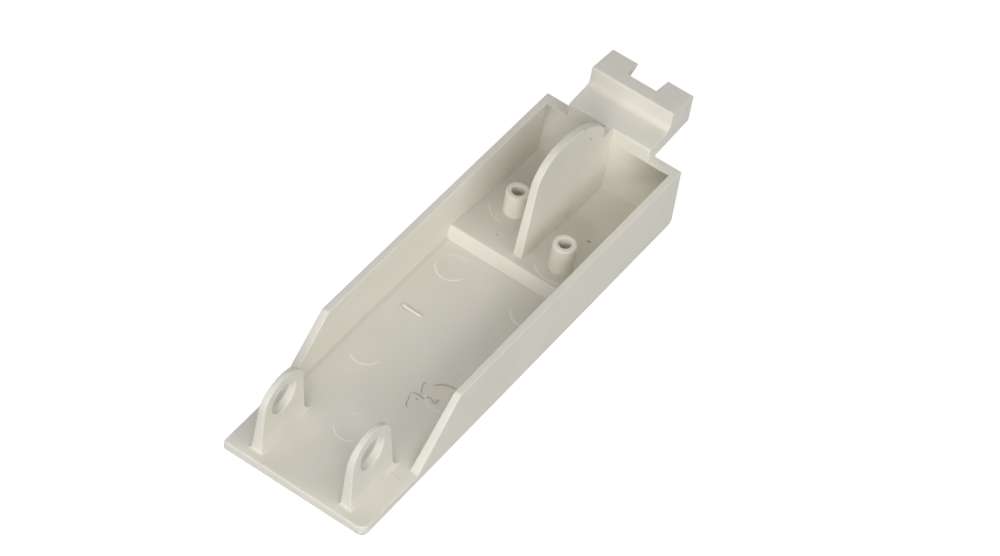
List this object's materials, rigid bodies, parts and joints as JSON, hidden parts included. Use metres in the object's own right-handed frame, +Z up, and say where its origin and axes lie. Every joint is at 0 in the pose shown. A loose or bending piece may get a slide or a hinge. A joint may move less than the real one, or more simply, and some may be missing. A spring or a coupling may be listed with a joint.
{
  "type": "washing machine door button",
  "caption": "Long moulded push button for a washing machine door, open tray with pivot ears, centre fin and a notched hook.",
  "frame": {"origin": "middle of the length and width, on the plane of the outer show face that the button lies on", "axes": "+X along the button from the pivot ears to the hook, +Y across it along the pivot axis, +Z up into the open side of the tray"},
  "size_m": [0.1144, 0.0324, 0.0288],
  "materials": {
    "warm_grey_plastic": "fine satin moulded, warm pale grey"
  },
  "bodies": {
    "root": {"button_body": "warm_grey_plastic"}
  },
  "joints": []
}
